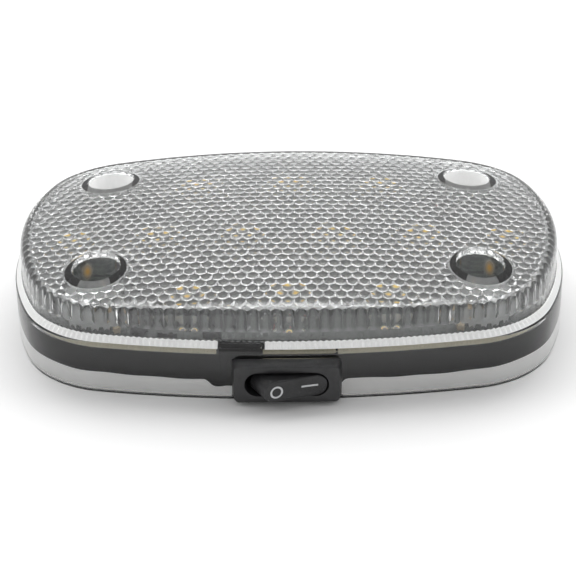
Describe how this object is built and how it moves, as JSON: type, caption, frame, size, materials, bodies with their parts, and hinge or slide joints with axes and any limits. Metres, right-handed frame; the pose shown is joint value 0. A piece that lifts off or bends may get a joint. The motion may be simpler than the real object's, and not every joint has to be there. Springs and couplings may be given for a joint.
{
  "type": "car dome light",
  "caption": "Clear surface-mount interior dome light with honeycomb lens, fluted walls, LED board in black resin and a side rocker switch.",
  "frame": {"origin": "middle of the four screw holes, in the plane of the back rim", "axes": "+Z out of the lens, away from the mounting surface; +X along the length; the switch is on the -Y side"},
  "size_m": [0.1486, 0.1048, 0.0301],
  "materials": {
    "clear_polycarbonate": "clear, glossy",
    "solder_mask": "satin",
    "resin": "smooth",
    "led_package": "satin",
    "phosphor": "translucent gel",
    "component_black": "matte",
    "ferrite": "matte",
    "ceramic_tan": "matte",
    "switch_black": "fine grain",
    "rocker_black": "satin",
    "acetal_white": "satin",
    "spring_steel": "bright",
    "contact_brass": "bright",
    "tinned_metal": "bright",
    "wire_red": "smooth",
    "wire_black": "smooth",
    "solder": "bright",
    "grommet_rubber": "matte"
  },
  "bodies": {
    "lamp": {"housing": "clear_polycarbonate", "screw_column_1": "clear_polycarbonate", "screw_column_2": "clear_polycarbonate", "screw_column_3": "clear_polycarbonate", "screw_column_4": "clear_polycarbonate", "circuit_board": "solder_mask", "potting": "resin", "led_01": "led_package", "led_02": "led_package", "led_03": "led_package", "led_04": "led_package", "led_05": "led_package", "led_06": "led_package", "led_07": "led_package", "led_08": "led_package", "led_09": "led_package", "led_10": "led_package", "led_11": "led_package", "led_12": "led_package", "phosphor_01": "phosphor", "phosphor_02": "phosphor", "phosphor_03": "phosphor", "phosphor_04": "phosphor", "phosphor_05": "phosphor", "phosphor_06": "phosphor", "phosphor_07": "phosphor", "phosphor_08": "phosphor", "phosphor_09": "phosphor", "phosphor_10": "phosphor", "phosphor_11": "phosphor", "phosphor_12": "phosphor", "driver_ic": "component_black", "bridge_rectifier": "component_black", "surge_suppressor": "component_black", "power_inductor": "ferrite", "filter_capacitors": "ceramic_tan", "ballast_resistors": "component_black", "switch_body": "switch_black", "terminal_common": "tinned_metal", "terminal_switched": "tinned_metal", "wire_feed": "wire_red", "wire_return": "wire_black", "solder_joints": "solder", "cable_grommet": "grommet_rubber"},
    "rocker": {"rocker": "rocker_black", "plunger": "acetal_white", "plunger_spring": "spring_steel"},
    "contact_blade": {"contact_blade": "contact_brass"}
  },
  "joints": [
    {"name": "rocker_tilt", "type": "hinge", "parent": "lamp", "child": "rocker", "pos_m": [-0.0005, -0.0462, 0.0065], "axis": [0, 0, -1], "range_deg": [0, 34]},
    {"name": "blade_rock", "type": "hinge", "parent": "lamp", "child": "contact_blade", "pos_m": [-0.0005, -0.0399, 0.0065], "axis": [0, 0, 1], "range_deg": [0, 18]}
  ],
  "couplings": [
    {"joint": "blade_rock", "follows": "rocker_tilt", "ratio": 0.5294}
  ]
}
